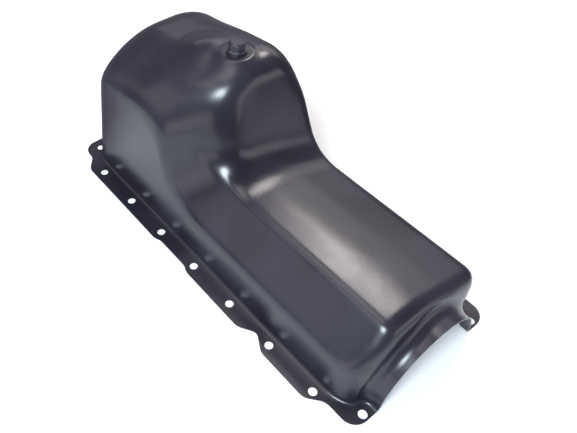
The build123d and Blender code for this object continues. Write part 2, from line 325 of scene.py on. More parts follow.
def cut_edge_group():
    """Mask of the sheared edges of a flat rail near the floor, where paint is thin."""
    tree, ins, outs = new_group(
        "cut_edge", {"Top": 0.0016}, {"Mask": "NodeSocketFloat"})
    coords = add(tree, "ShaderNodeTexCoord")
    place = add(tree, "ShaderNodeSeparateXYZ")
    tree.links.new(coords.outputs["Object"], place.inputs[0])
    geometry = add(tree, "ShaderNodeNewGeometry")
    facing = add(tree, "ShaderNodeSeparateXYZ")
    tree.links.new(geometry.outputs["True Normal"], facing.inputs[0])
    upright = map_range(
        tree, math_node(tree, "ABSOLUTE", facing.outputs["Z"], 0.0), *UPRIGHT_BAND, 1.0, 0.0)
    low = math_node(tree, "LESS_THAN", place.outputs["Z"], ins.outputs["Top"])
    grain = add(tree, "ShaderNodeTexNoise", in_Scale=400.0, in_Detail=3.0)
    tree.links.new(coords.outputs["Object"], grain.inputs["Vector"])
    thin = map_range(tree, grain.outputs["Fac"], *THIN_BAND, 0.0, 1.0)
    mask = math_node(tree, "MULTIPLY", math_node(tree, "MULTIPLY", upright, low), thin)
    tree.links.new(mask, outs.inputs["Mask"])
    return tree


def place_group(tree, group, **values):
    """Puts a node group into a material with its own values."""
    node = tree.nodes.new("ShaderNodeGroup")
    node.node_tree = group
    for key, value in values.items():
        node.inputs[key.replace("_", " ")].default_value = value
    return node


def mix_colour(tree, factor, first, second):
    """Output of a mix, by a varying factor, of two colours that are links or fixed."""
    node = add(tree, "ShaderNodeMix", data_type="RGBA")
    tree.links.new(factor, node.inputs["Factor"])
    sockets = [socket for socket in node.inputs if socket.type == "RGBA"]
    for socket, colour in zip(sockets, (first, second)):
        if isinstance(colour, tuple):
            socket.default_value = (*colour, 1.0)
        else:
            tree.links.new(colour, socket)
    return [socket for socket in node.outputs if socket.type == "RGBA"][0]


def new_material(name):
    """Empty node material with a Principled BSDF."""
    material = bpy.data.materials.new(name)
    material.use_nodes = True
    shader = material.node_tree.nodes["Principled BSDF"]
    return material, material.node_tree, shader


# black paint: ripples for each ripple of the peel, cloud scale, and how dust and wear change it
RIPPLE_TO_PEEL = 0.12
SHEEN_SCALE = 9.0
DUST_GAIN = 1.6
DUST_LIFT = 0.003
SHEEN_SMOOTHER = 0.03
SHEEN_ROUGHER = 0.04
RUB_ROUGHER = 0.05
PEEL_DEPTH = 0.001
PAINT_IOR = 1.5
BARE_STEEL = (0.16, 0.155, 0.15)
# painted light: the plug's paint is a lighter copy of the pressing's
PLUG_PAINTED_LIGHT = 1.1             # the plug's paint against the pressing's

WASHER_COLOUR = (0.32, 0.31, 0.30)
WASHER_ROUGHNESS = 0.38
WASHER_DARKER = 0.7
WASHER_ROUGHER = 0.12


def black_paint(name, settings, film, edge=None, painted_light_gain=1.0):
    """Sprayed black paint with orange peel, a cloudy sheen, rubbed spots and bare cut edges."""
    material, tree, shader = new_material(name)
    film_node = place_group(
        tree, film, Peel_Scale=1.0 / settings.peel_size,
        Ripple_Scale=RIPPLE_TO_PEEL / settings.peel_size, Sheen_Scale=SHEEN_SCALE)
    # painted light: a gain above 1 makes a lighter copy of the same paint
    base = tuple(painted_light_gain * c for c in settings.colour)
    dusty = tuple(c * DUST_GAIN + DUST_LIFT for c in base)
    colour = mix_colour(tree, film_node.outputs["Sheen"], base, dusty)
    if edge:
        mask = place_group(tree, edge).outputs["Mask"]
        colour = mix_colour(tree, mask, colour, BARE_STEEL)
    tree.links.new(colour, shader.inputs["Base Color"])
    rough = map_range(tree, film_node.outputs["Sheen"], 0.0, 1.0,
                      settings.roughness - SHEEN_SMOOTHER, settings.roughness + SHEEN_ROUGHER)
    rubbed = math_node(tree, "MULTIPLY", film_node.outputs["Rub"], RUB_ROUGHER)
    tree.links.new(math_node(tree, "ADD", rough, rubbed), shader.inputs["Roughness"])
    bump = add(tree, "ShaderNodeBump", in_Strength=settings.peel_height, in_Distance=PEEL_DEPTH)
    tree.links.new(film_node.outputs["Height"], bump.inputs["Height"])
    tree.links.new(bump.outputs["Normal"], shader.inputs["Normal"])
    shader.inputs["IOR"].default_value = PAINT_IOR
    return material


def plated_metal(name, film):
    """Dull plated metal with a cloudy sheen."""
    material, tree, shader = new_material(name)
    film_node = place_group(tree, film, Peel_Scale=900.0, Ripple_Scale=200.0, Sheen_Scale=60.0)
    darker = tuple(WASHER_DARKER * c for c in WASHER_COLOUR)
    colour = mix_colour(tree, film_node.outputs["Sheen"], WASHER_COLOUR, darker)
    tree.links.new(colour, shader.inputs["Base Color"])
    rough = map_range(tree, film_node.outputs["Sheen"], 0.0, 1.0,
                      WASHER_ROUGHNESS, WASHER_ROUGHNESS + WASHER_ROUGHER)
    tree.links.new(rough, shader.inputs["Roughness"])
    shader.inputs["Metallic"].default_value = 1.0
    return material


# ---------------------------------------------------------------- pressing: its form in millimetres
RAIL_END = PAN_HIGH.x / MM
RAIL_WIDE = PAN_HIGH.y / MM
PAD_TOP = PAN_HIGH.z / MM
DRAIN_X = (PLUG_LOW.x + PLUG_HIGH.x) / 2 / MM
DRAIN_Y = (PLUG_LOW.y + PLUG_HIGH.y) / 2 / MM
SUMP_HEIGHT = PAD_TOP - 2.0     # of the sloping bottom under the drain
FLOOR_HEIGHT = 96.4             # of the shallow part
SUMP_FOOT_X = -6.9              # where the sump's front would meet the floor
BOTTOM_TILT = 82.1
REAR_WALL_INSET = 14.0          # rail's ends to the end walls
FRONT_WALL_INSET = 10.4

# flat faces of the body: heading and tilt of the outward normal in degrees, and a point
NEAR_WALL = (-90, 6.5, (0, -100, 0))
FAR_WALL = (90, 5.3, (0, 100, 0))
REAR_WALL = (180, 3.8, (REAR_WALL_INSET - RAIL_END, 0, 0))
FRONT_WALL = (0, 7.0, (RAIL_END - FRONT_WALL_INSET, 0, 0))
SUMP_FRONT = (0, 19.0, (SUMP_FOOT_X, 0, FLOOR_HEIGHT))
BOTTOM = (180, BOTTOM_TILT, (DRAIN_X, DRAIN_Y, SUMP_HEIGHT))
SHOULDER = (-96.4, 47.0, (DRAIN_X, -28.2, SUMP_HEIGHT))
CORNER = (-54.4, 12.5, (SUMP_FOOT_X, -33.8, FLOOR_HEIGHT))
CORNER_SHOULDER = (-54.4, 36.0, (-16.7, -20.2, 172))
NEAR_BEVEL = (-90, 44.0, (0, -50, FLOOR_HEIGHT))
FLOOR = (0, 90, (0, 0, FLOOR_HEIGHT))
FAR_FLOOR = (90, 74.6, (0, 5, FLOOR_HEIGHT))
# the faces that are joined onto the corner's, one after the other, each with the join's width
SUMP_FACES = ((SUMP_FRONT, 16), (CORNER_SHOULDER, 22), (SHOULDER, 26), (BOTTOM, 30))

# bands over which the joins change: a low and a high end in Y, in height or towards the rear
SEAM_SIDES = (-60, 30)          # Y, from the near seam's radius to the far seam's
LOW_BAND = (35, 80)             # heights, from the front corners' radius to the front edge's
HIGH_BAND = (100, 180)          # heights, over which the near and rear joins widen
TOP_BAND = (140, 205)           # heights, over which the far join widens
REAR_BAND = (110, 210)          # distances to the rear, over which the far join widens further
# widths of the joins between the walls and what they bound, and what each band adds to them
NEAR_JOIN = 5
NEAR_JOIN_HIGH = 11
FAR_JOIN = 10
FAR_JOIN_TOP = 26
FAR_JOIN_REAR = 24
REAR_JOIN_HIGH = 5
FRONT_EDGE_TURN = 81            # turn over the front edge, in degrees
DOME_JOIN = 8.0                 # hollow foot of the dome
PAD_JOIN = 5.0                  # hollow foot of the pad, and its rolled rim
PAD_EDGE = 1.2


def unit(heading, tilt):
    """Unit vector from a heading and a tilt above level, in degrees."""
    h, t = math.radians(heading), math.radians(tilt)
    return np.array([math.cos(h) * math.cos(t), math.sin(h) * math.cos(t), math.sin(t)])


def beyond(face, places):
    """Signed distance of places from a flat face, positive outside."""
    heading, tilt, point = face
    normal = unit(heading, tilt)
    return places @ normal - float(np.dot(point, normal))


def ease(value, low, high):
    """Smooth step from 0 at low to 1 at high."""
    share = np.clip((value - low) / (high - low), 0, 1)
    return share * share * (3 - 2 * share)


def smooth_maximum(a, b, width):
    """Higher of two fields; where they differ by less than the width, a parabola joins them."""
    share = np.clip(1 - np.abs(a - b) / width, 0, 1)
    return np.maximum(a, b) + width * share * share / 4


def blend_width(turn, radius):
    """Width of the join that rolls an edge between two faces to a radius.

    It is four radii times one less the cosine of half the turn between the faces, in degrees.
    """
    return 4 * radius * (1 - math.cos(math.radians(turn / 2)))


def rolled(first, others, places):
    """Field of a form inside the first face and the others, each joined on over its own width."""
    field = beyond(first, places)
    for face, width in others:
        field = smooth_maximum(field, beyond(face, places), width)
    return field


def dome_field(places):
    """Sphere whose cap stands out of the sloping bottom behind the drain."""
    rise, half, behind, beside = 6.0, 26.0, 44.0, 8.0
    radius = (half ** 2 + rise ** 2) / (2 * rise)
    drop = behind / math.tan(math.radians(BOTTOM_TILT))
    foot = np.array([DRAIN_X - behind, beside, SUMP_HEIGHT - drop])
    centre = foot + unit(*BOTTOM[:2]) * (rise - radius)
    return np.linalg.norm(places - centre, axis=-1) - radius


def pad_field(places):
    """Low cone with a flat top around the drain hole, limited downwards."""
    radius, depth = 19.0, 12.0
    from_axis = np.hypot(places[..., 0] - DRAIN_X, places[..., 1] - DRAIN_Y)
    above = places[..., 2] - PAD_TOP
    cone = (from_axis - radius + above) * math.sqrt(0.5)
    return np.maximum(smooth_maximum(cone, above, PAD_EDGE), -depth - above)


def pressing_field(places, s):
    """Negative inside the pressing's outer form, positive outside and zero on it.

    Sump and shallow part are sets of flat faces with rolled edges. A hollow bend that widens
    towards the far side joins them; the walls bound both, and dome and drain pad are added.
    """
    sump = rolled(CORNER, SUMP_FACES, places)
    floor = smooth_maximum(beyond(FLOOR, places), beyond(FAR_FLOOR, places),
                           blend_width(90 - FAR_FLOOR[1], s.ridge_roll / MM))
    shallow = smooth_maximum(floor, beyond(NEAR_BEVEL, places),
                             blend_width(90 - NEAR_BEVEL[1], s.shallow_roll / MM))
    share = ease(places[..., 1], *SEAM_SIDES)
    seam = (s.seam_near * (1 - share) + s.seam_far * share) / MM
    field = -smooth_maximum(-sump, -shallow, blend_width(FLOOR[1] - SUMP_FRONT[1], 1) * seam)
    height = places[..., 2]
    high, top = ease(height, *HIGH_BAND), ease(height, *TOP_BAND)
    rearward = ease(-places[..., 0], *REAR_BAND)
    corner = blend_width(90, 1)
    edge = blend_width(FRONT_EDGE_TURN, s.front_roll / MM)
    low = 1 - ease(height, *LOW_BAND)
    near = NEAR_JOIN + NEAR_JOIN_HIGH * high
    far = FAR_JOIN + (FAR_JOIN_TOP + FAR_JOIN_REAR * rearward) * top
    rear = corner * s.rear_corner / MM + REAR_JOIN_HIGH * high
    front = edge + (corner * s.front_corner / MM - edge) * low
    for wall, width in ((NEAR_WALL, near), (FAR_WALL, far), (REAR_WALL, rear), (FRONT_WALL, front)):
        field = smooth_maximum(field, beyond(wall, places), width)
    field = -smooth_maximum(-field, -dome_field(places), DOME_JOIN)
    return -smooth_maximum(-field, -pad_field(places), PAD_JOIN)


def cast(origin, way, s, reach=330.0, halvings=26):
    """Where rays from inside the form leave it, by halving the interval that holds the zero."""
    low = np.zeros(origin.shape[:-1])
    high = low + reach
    for _ in range(halvings):
        middle = (low + high) / 2
        inside = pressing_field(origin + way * middle[..., None], s) < 0
        low = np.where(inside, middle, low)
        high = np.where(inside, high, middle)
    return origin + way * high[..., None]


def spaced(stops):
    """Rising values through stops of (value, steps up to the next stop)."""
    runs = [np.linspace(a, b, n, endpoint=False) for (a, n), (b, _) in zip(stops, stops[1:])]
    return np.concatenate(runs + [np.array([stops[-1][0]])])


TURN_AT = 190.0                 # beyond this distance the rays tilt towards the end walls
END_ROWS = 40                   # rows from there to each end wall, and how they crowd
END_CROWD = 1.25
PAD_REACH = 27.0                # rows are closer within this distance of the drain
# X of the stops and the rows up to the next: behind the pad, over it, before it, the shallow part
MIDDLE_STOPS = (
    (-TURN_AT, 26), (DRAIN_X - PAD_REACH, 54), (DRAIN_X + PAD_REACH, 24), (2, 62), (TURN_AT, 0),
)
PAD_FAN = 95.6                  # columns are closer near this angle, where the drain is
PAD_FAN_REACH = 7.5
PAD_COLUMNS = 44
BEND_ROWS = 7                   # rows through the bend from an end wall to its half ring
RING_ROWS = 6                   # rows along the half ring
FOOT_COLUMNS = 6                # columns through the bend at the walls' foot
RAIL_COLUMNS = 3                # columns over the flat rail


def body_rows(s, fans):
    """Rows of points over the body from one end wall to the other, and columns from side to side.

    In the middle the rays stand square to the length and fan out round it. Towards both ends they
    tilt until they lie along the length, and start from a half circle that grows to the saddle's.
    """
    middle = spaced(MIDDLE_STOPS)
    spread = np.linspace(0, 1, END_ROWS + 1)[1:] ** END_CROWD
    x = np.concatenate([np.full(END_ROWS, -TURN_AT), middle, np.full(END_ROWS, TURN_AT)])
    grow = np.concatenate([spread[::-1], 0 * middle, spread])
    end = np.sign(x) * (grow > 0)
    tilt = grow * math.pi / 2
    foot = (s.sheet + s.bend) / MM
    circle = (s.saddle + s.sheet + s.saddle_bend) / MM * grow
    centre = foot * (1 - grow)
    low = np.where(grow > 0, np.arcsin(np.clip((foot - centre) / np.maximum(circle, 1), 0, 1)), 0)
    start = low[:, None] + (math.pi - 2 * low[:, None]) * (fans / math.pi)[None, :]
    origin = np.stack([0 * start, -np.cos(start), np.sin(start)], -1) * circle[:, None, None]
    origin[..., 0] += x[:, None]
    origin[..., 2] += centre[:, None]
    way = np.stack([0 * start, -np.cos(fans) + 0 * start, np.sin(fans) + 0 * start], -1)
    way *= np.cos(tilt)[:, None, None]
    way[..., 0] += (end * np.sin(tilt))[:, None]
    return cast(origin, way, s)


def saddle_rows(last, end, s, fans):
    """Rows from an end wall through a quarter bend and along the half ring to the rail's end.

    Also gives, for each row, the level direction in which its foot bends out into the rail.
    """
    foot = (s.sheet + s.bend) / MM
    ring, bend = (s.saddle + s.sheet) / MM, s.saddle_bend / MM
    turn = np.linspace(0, math.pi / 2, BEND_ROWS + 1)[1:]
    along = np.linspace(0, 1, RING_ROWS + 1)[1:]
    x = [last[:, 0] + end * bend * (1 - math.cos(t)) for t in turn]
    x += [x[-1] + (end * RAIL_END - x[-1]) * a for a in along]
    radius = np.concatenate([ring + bend * (1 - np.sin(turn)), np.full(len(along), ring)])
    low = np.arcsin(foot / radius)[:, None]
    angle = low + (math.pi - 2 * low) * (fans / math.pi)[None, :]
    points = np.stack([np.array(x), -radius[:, None] * np.cos(angle),
                       radius[:, None] * np.sin(angle)], -1)
    turn = np.concatenate([turn, np.full(len(along), math.pi / 2)])
    return points, np.stack([end * np.cos(turn), np.sin(turn)], -1)


def arc_corners(corners, steps=12):
    """Line through corner points of (x, y, radius) whose corners are arcs; both ends stay sharp."""
    line = [np.array([corners[0][:2]])]
    for before, corner, after in zip(corners, corners[1:], corners[2:]):
        here = np.array(corner[:2])
        back = (np.array(before[:2]) - here) / math.dist(before[:2], corner[:2])
        onward = (np.array(after[:2]) - here) / math.dist(after[:2], corner[:2])
        half = math.acos(np.dot(back, onward)) / 2
        middle = here + (back + onward) / (2 * math.cos(half)) * corner[2] / math.sin(half)
        first = here + back * corner[2] / math.tan(half) - middle
        final = here + onward * corner[2] / math.tan(half) - middle
        share = np.linspace(0, 1, steps)[:, None]
        sweep = math.pi - 2 * half
        arc = np.sin((1 - share) * sweep) * first + np.sin(share * sweep) * final
        line.append(middle + arc / math.sin(sweep))
    line.append(np.array([corners[-1][:2]]))
    return np.vstack(line)


# rail's outline: corner tabs, slanted steps up to the wide part, and two notches in each edge
REAR_TAB = 27.0                 # lengths of the tabs
FRONT_TAB = 41.0
TAB_WIDE = RAIL_WIDE - 15.2     # middle line to the tabs' outer edge
TAB_CORNER = 18.0
TAB_STEP = 18.0                 # length of the slanted steps
OUTLINE_ROLL = 18.0             # radius at the steps and at the long notch
STRAIGHT_END = 1.0              # width beside each tab's corner that stays straight
LONG_NOTCH_X = 240.5 - RAIL_END
LONG_NOTCH_HALF = 35.0
LONG_FLOOR_HALF = 25.0
LONG_NOTCH_DEPTH = 3.9
SHORT_NOTCH_X = 393.5 - RAIL_END
SHORT_NOTCH_HALF = 21.0
SHORT_NOTCH_DEPTH = 12.8
SHORT_NOTCH_ROLL = 16.0
SHORT_ROOT_ROLL = 8.0


def rail_line():
    """Rail's outer edge on one side, from the straight part of the rear end to that of the front."""
    rear_step, front_step = REAR_TAB - RAIL_END, RAIL_END - FRONT_TAB
    straight = TAB_WIDE - TAB_CORNER - STRAIGHT_END
    long_floor = RAIL_WIDE - LONG_NOTCH_DEPTH
    return arc_corners((
        (-RAIL_END, straight, 0),
        (-RAIL_END, TAB_WIDE, TAB_CORNER),
        (rear_step, TAB_WIDE, OUTLINE_ROLL),
        (rear_step + TAB_STEP, RAIL_WIDE, OUTLINE_ROLL),
        (LONG_NOTCH_X - LONG_NOTCH_HALF, RAIL_WIDE, OUTLINE_ROLL),
        (LONG_NOTCH_X - LONG_FLOOR_HALF, long_floor, OUTLINE_ROLL),
        (LONG_NOTCH_X + LONG_FLOOR_HALF, long_floor, OUTLINE_ROLL),
        (LONG_NOTCH_X + LONG_NOTCH_HALF, RAIL_WIDE, OUTLINE_ROLL),
        (SHORT_NOTCH_X - SHORT_NOTCH_HALF, RAIL_WIDE, SHORT_NOTCH_ROLL),
        (SHORT_NOTCH_X, RAIL_WIDE - SHORT_NOTCH_DEPTH, SHORT_ROOT_ROLL),
        (SHORT_NOTCH_X + SHORT_NOTCH_HALF, RAIL_WIDE, SHORT_NOTCH_ROLL),
        (front_step - TAB_STEP, RAIL_WIDE, OUTLINE_ROLL),
        (front_step, TAB_WIDE, OUTLINE_ROLL),
        (RAIL_END, TAB_WIDE, TAB_CORNER),
        (RAIL_END, straight, 0),
    ))


def foot_ways(places, s, step=0.5):
    """Level outward directions of the form, from central differences of its field."""
    slopes = [
        pressing_field(places + shift, s) - pressing_field(places - shift, s)
        for shift in (np.array([step, 0, 0]), np.array([0, step, 0]))
    ]
    slopes = np.stack(slopes, -1)
    return slopes / np.linalg.norm(slopes, axis=-1, keepdims=True)


def rail_columns(start, way, side, s):
    """Columns from the body's foot through the bend and over the flat rail to its outer edge.

    In the middle each row meets the edge straight out from its foot. Past the first and the last
    of those rows the edge is shared out evenly by its length up to the rail's straight ends.
    """
    bend, sheet = s.bend / MM, s.sheet / MM
    turn = np.linspace(0, math.pi / 2, FOOT_COLUMNS)[None, :]
    out = bend * (1 - np.cos(turn))[..., None]
    plan = start[:, None, :2] + way[:, None] * out
    height = sheet + bend * (1 - np.sin(turn)) + 0 * plan[..., 0]
    arc = np.concatenate([plan, height[..., None]], -1)
    foot = arc[:, -1]
    line = rail_line()
    run = np.concatenate([[0], np.cumsum(np.linalg.norm(np.diff(line, axis=0), axis=1))])
    rows = np.arange(len(foot))
    first, last = np.nonzero(np.abs(foot[:, 0]) <= TURN_AT)[0][[0, -1]]
    meets = np.interp(foot[:, 0], line[:, 0], run)
    meets[:first] = run[1] + (meets[first] - run[1]) * rows[:first] / first
    past = (rows[last:] - last) / (rows[-1] - last)
    meets[last:] = meets[last] + (run[-2] - meets[last]) * past
    edge = np.stack([np.interp(meets, run, line[:, 0]),
                     side * np.interp(meets, run, line[:, 1])], -1)
    share = np.linspace(0, 1, RAIL_COLUMNS + 1)[1:, None]
    plan = foot[:, None, :2] + (edge - foot[:, :2])[:, None] * share
    flat = np.concatenate([plan, np.full(plan.shape[:2] + (1,), sheet)], -1)
    return np.concatenate([arc, flat], 1)


def pressing_sheet(s):
    """Whole upper surface of the sheet as one grid: rows along the length, columns across."""
    pad, reach = math.radians(PAD_FAN), math.radians(PAD_FAN_REACH)
    side_columns = s.columns // 2
    fans = spaced((
        (0, side_columns), (pad - reach, PAD_COLUMNS), (pad + reach, side_columns), (math.pi, 0),
    ))
    body = body_rows(s, fans)
    rear, rear_ways = saddle_rows(body[0], -1, s, fans)
    front, front_ways = saddle_rows(body[-1], 1, s, fans)
    both = []
    for side, column in ((-1, 0), (1, -1)):
        mirror = np.array([1, side])
        ways = np.vstack([rear_ways[::-1] * mirror, foot_ways(body[:, column], s),
                          front_ways * mirror])
        start = np.vstack([rear[::-1, column], body[:, column], front[:, column]])
        both.append(rail_columns(start, ways, side, s))
    body = np.concatenate([rear[::-1], body, front])
    return np.concatenate([both[0][:, ::-1], body[:, 1:-1], both[1]], 1)


# bolt holes: their distances from the rail's ends and outer edges
REAR_CORNER_BOLT = 16.0
FRONT_CORNER_BOLT = 7.5
CORNER_BOLT_INSET = 19.9
SIDE_BOLTS = 7
FIRST_SIDE_BOLT = 64.0
BOLT_PITCH = 70.0
SIDE_BOLT_INSET = 12.3
DRILL_SIDES = 48
DRILL_REACH = 10.0              # above and below the middle of what a drill cuts


def bolt_places():
    """X and Y of the rail's bolt holes, in millimetres."""
    corner_y, side_y = TAB_WIDE - CORNER_BOLT_INSET, RAIL_WIDE - SIDE_BOLT_INSET
    places = []
    for side in (-1, 1):
        places.append((REAR_CORNER_BOLT - RAIL_END, side * corner_y))
        places.append((RAIL_END - FRONT_CORNER_BOLT, side * corner_y))
        for i in range(SIDE_BOLTS):
            places.append((FIRST_SIDE_BOLT + BOLT_PITCH * i - RAIL_END, side * side_y))
    return places


def drill(x, y, level, radius):
    """Upright closed cylinder around a place, in millimetres."""
    angle = np.linspace(0, 2 * math.pi, DRILL_SIDES, endpoint=False)
    middle = np.array([x, y])
    spoke = radius * np.stack([np.cos(angle), np.sin(angle)], -1)
    low, high = level - DRILL_REACH, level + DRILL_REACH
    rows = [
        np.column_stack([middle + share * spoke, np.full(DRILL_SIDES, height)])
        for share, height in ((0, low), (1, low), (1, high), (0, high))
    ]
    return grid_mesh("drill", np.array(rows) * MM, True)


def hole_drills(s):
    """Drills for all the bolt holes and the drain hole."""
    drills = [drill(x, y, 0.0, s.bolt_hole / 2 / MM) for x, y in bolt_places()]
    drills.append(drill(DRAIN_X, DRAIN_Y, PAD_TOP, s.drain_hole / 2 / MM))
    return drills


PRESSING_CREASE = math.radians(35)      # edges sharper than this stay sharp


class OILPAN_OT_pressing(bpy.types.Operator):
    """Makes the pressed steel pan as one smooth sheet with its holes"""
    bl_idname = "oilpan.pressing"
    bl_label = "Make pressing"

    def execute(self, context):
        settings = context.scene.oilpan_pressing
        sheet = grid_mesh("pressed_pan", pressing_sheet(settings) * MM, False)
        drills = hole_drills(settings)
        collection = bpy.data.collections.new("drills")
        for drill in drills:
            collection.objects.link(drill)
        solid = sheet.modifiers.new("thickness", "SOLIDIFY")
        solid.thickness = settings.sheet
        solid.offset = -1
        solid.use_even_offset = True
        cut = sheet.modifiers.new("holes", "BOOLEAN")
        cut.operation = "DIFFERENCE"
        cut.solver = "EXACT"
        cut.operand_type = "COLLECTION"
        cut.collection = collection
        graph = context.evaluated_depsgraph_get()
        mesh = bpy.data.meshes.new_from_object(sheet.evaluated_get(graph))
        sheet.modifiers.clear()
        sheet.data = mesh
        for drill in drills:
            bpy.data.objects.remove(drill)
        bpy.data.collections.remove(collection)
        shade_smooth(sheet, PRESSING_CREASE)
        finish_piece(sheet, bpy.data.materials["black_pressing"])
        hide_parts("pan_pressing")
        return {"FINISHED"}


# ---------------------------------------------------------------- drain plug: metres
TOP_DIP = 0.15 * MM
CHAMFER_TILT = math.radians(30)     # cone that cuts the hexagon's corners
FLAT_ROLL = 0.5 * MM                # join between cone and flats
FOOT_FLARE = 0.6 * MM               # hollow at the hexagon's foot
FOOT_HEIGHT = 0.8 * MM
SIDE_CROWD = 1.6                    # rows crowd towards the top of the flats
COLLAR_ROLL = 0.7 * MM
CAP_ROWS = 10
SIDE_ROWS = 35
RIM_ROWS = 15
THREAD_DEPTH = 0.58                 # of the pitch
THREAD_ROWS = 10                    # for each turn
VALLEY_SLOPE = 1.15                 # above 1 the crests get a flat
FADE_TURNS = 1.5                    # the thread starts to show below the collar at 0.6 of these
FADE_START = 0.6                    # turns, and is whole one such length further down
TIP = 1.0 * MM                      # chamfer at the thread's end
TIP_ROWS = 5
END_RINGS = 7
PLUG_CREASE = math.radians(38)


def hexagon_radius(angle, across_flats):
    """Radius of a hexagon: half the width over the cosine of the angle from the nearest flat."""
    sixth = math.pi / 3
    from_flat = (angle + sixth / 2) % sixth - sixth / 2
    return across_flats / 2 / np.cos(from_flat)


def smooth_minimum(a, b, width):
    """Lower of two arrays, with a round transition of the width where they cross."""
    h = np.clip(0.5 + 0.5 * (b - a) / width, 0, 1)
    return b + (a - b) * h - width * h * (1 - h)


def all_round(column, angle):
    """Values of the rows, the same at every angle."""
    return column + 0 * angle[None, :]


def plug_head(angle, settings, seat):
    """Rows of the head, from the middle of its top down to the collar's underside.

    The radius is the lower of the hexagon and a cone of 30 degrees from the flat round top; the
    top dips by a fraction of a millimetre, and the collar's edges are quarter rounds.
    """
    top = PLUG_HIGH.z - seat
    crown = settings.crown / 2
    hexagon = hexagon_radius(angle, settings.across_flats)[None, :]
    inward = np.linspace(0, 1, CAP_ROWS)[:, None]
    cap_radius = all_round(crown * inward, angle)
    cap_height = all_round(top - TOP_DIP * (1 - inward ** 4), angle)
    drop = np.linspace(0, 1, SIDE_ROWS + 1)[1:, None] ** SIDE_CROWD
    side_height = all_round(top - drop * (top - settings.collar_height), angle)
    cone = crown + (top - side_height) / math.tan(CHAMFER_TILT)
    side_radius = smooth_minimum(cone, hexagon + 0 * cone, FLAT_ROLL)
    above_foot = side_height - settings.collar_height
    foot = np.clip((FOOT_HEIGHT - above_foot) / FOOT_HEIGHT, 0, 1)
    side_radius = side_radius + FOOT_FLARE * foot ** 2
    turn = np.linspace(0, math.pi, RIM_ROWS)[:, None]
    half = settings.collar_height / 2
    rim_radius = all_round(
        settings.collar / 2 - COLLAR_ROLL + COLLAR_ROLL * np.sin(turn), angle)
    rim_height = all_round(
        half + (half - COLLAR_ROLL) * np.sign(np.cos(turn)) + COLLAR_ROLL * np.cos(turn), angle)
    radius = np.vstack([cap_radius, side_radius, rim_radius])
    height = np.vstack([cap_height, side_height, rim_height])
    return radius, height


def plug_thread(angle, settings):
    """Rows of the threaded barrel, from the collar's underside to the middle of its end.

    The radius is the outer one less a rounded V of the thread's depth, whose phase is the height
    over the pitch less the angle's share of a turn; it fades out at both ends.
    """
    outer = settings.thread / 2
    depth = THREAD_DEPTH * settings.pitch
    count = int(settings.reach / settings.pitch * THREAD_ROWS)
    height = all_round(-np.linspace(0, settings.reach - TIP, count)[:, None], angle)
    phase = (height / settings.pitch - angle[None, :] / (2 * math.pi)) % 1.0
    valley = np.clip(1 - np.abs(2 * phase - 1) * VALLEY_SLOPE, 0, 1)
    fade = np.clip(-height / (FADE_TURNS * settings.pitch) - FADE_START, 0, 1)
    radius = outer - depth * valley * fade
    chamfer = np.linspace(0, 1, TIP_ROWS + 1)[1:, None]
    tip_height = all_round(-settings.reach + (1 - chamfer) * TIP, angle)
    tip_radius = radius[-1] + (outer - TIP - radius[-1]) * chamfer
    inward = np.linspace(1, 0, END_RINGS + 1)[1:, None]
    end_radius = all_round((outer - TIP) * inward, angle)
    end_height = -settings.reach + 0 * end_radius
    return np.vstack([radius, tip_radius, end_radius]), np.vstack([height, tip_height, end_height])


class OILPAN_OT_drain_plug(bpy.types.Operator):
    """Makes the drain plug with its rounded hexagon, collar and cut thread"""
    bl_idname = "oilpan.drain_plug"
    bl_label = "Make drain plug"

    def execute(self, context):
        settings = context.scene.oilpan_plug
        seat = PLUG_LOW.z + settings.reach
        angle = np.linspace(0, 2 * math.pi, settings.around, endpoint=False)
        head_radius, head_height = plug_head(angle, settings, seat)
        thread_radius, thread_height = plug_thread(angle, settings)
        radius = np.vstack([head_radius, thread_radius])
        height = np.vstack([head_height, thread_height])
        middle = (PLUG_LOW + PLUG_HIGH) / 2
        points = np.stack([
            middle.x + radius * np.cos(angle), middle.y + radius * np.sin(angle), seat + height,
        ], -1)
        piece = grid_mesh("drain_plug_screw", points, True)
        shade_smooth(piece, PLUG_CREASE)
        finish_piece(piece, bpy.data.materials["black_plug_painted_light"])
        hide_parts("drain_plug")
        return {"FINISHED"}


# ---------------------------------------------------------------- finishes
class OILPAN_OT_finishes(bpy.types.Operator):
    """Makes the materials and gives the CAD pieces theirs"""
    bl_idname = "oilpan.finishes"
    bl_label = "Make finishes"

    def execute(self, context):
        paint = context.scene.oilpan_paint
        film = paint_film_group()
        edge = cut_edge_group()
        black_paint("black_pressing", paint, film, edge)
        dress_node("drain_nut", black_paint("black_nut", paint, film))
        # painted light: the plug's copy of the paint is made lighter
        black_paint("black_plug_painted_light", paint, film, painted_light_gain=PLUG_PAINTED_LIGHT)
        dress_node("drain_plug_washer", plated_metal("plated_washer", film))
        return {"FINISHED"}


# ---------------------------------------------------------------- stage
# soft boxes: name, heading and height of the direction they shine from, size, radiance, tint
SOFT_BOXES = (
    ("key_light", -68, 47, 0.74, 0.74, 38.0, (0.86, 0.98, 1.06)),
    ("far_light", 116, 53, 0.62, 0.72, 14.0, (1.05, 0.99, 0.95)),
    ("far_low_light", 116, 29, 1.70, 0.75, 1.7, (1.05, 0.99, 0.95)),
    ("rear_far_light", 150, 26, 0.90, 0.50, 0.9, (1.03, 0.99, 0.98)),
    ("top_light", -170, 76, 1.20, 0.90, 3.0, (1.05, 0.99, 0.96)),
    ("near_top_light", -122, 54, 0.80, 0.60, 2.2, (1.03, 0.99, 0.98)),
    ("near_light", -82, 6, 1.30, 0.55, 1.9, (1.02, 0.99, 1.02)),
    ("near_rear_light", -125, 24, 1.60, 0.90, 1.0, (1.03, 0.99, 1.00)),
    ("front_light", 25, 12, 1.80, 0.60, 2.0, (1.00, 0.98, 0.98)),
)
LIGHT_DISTANCE = 2.2
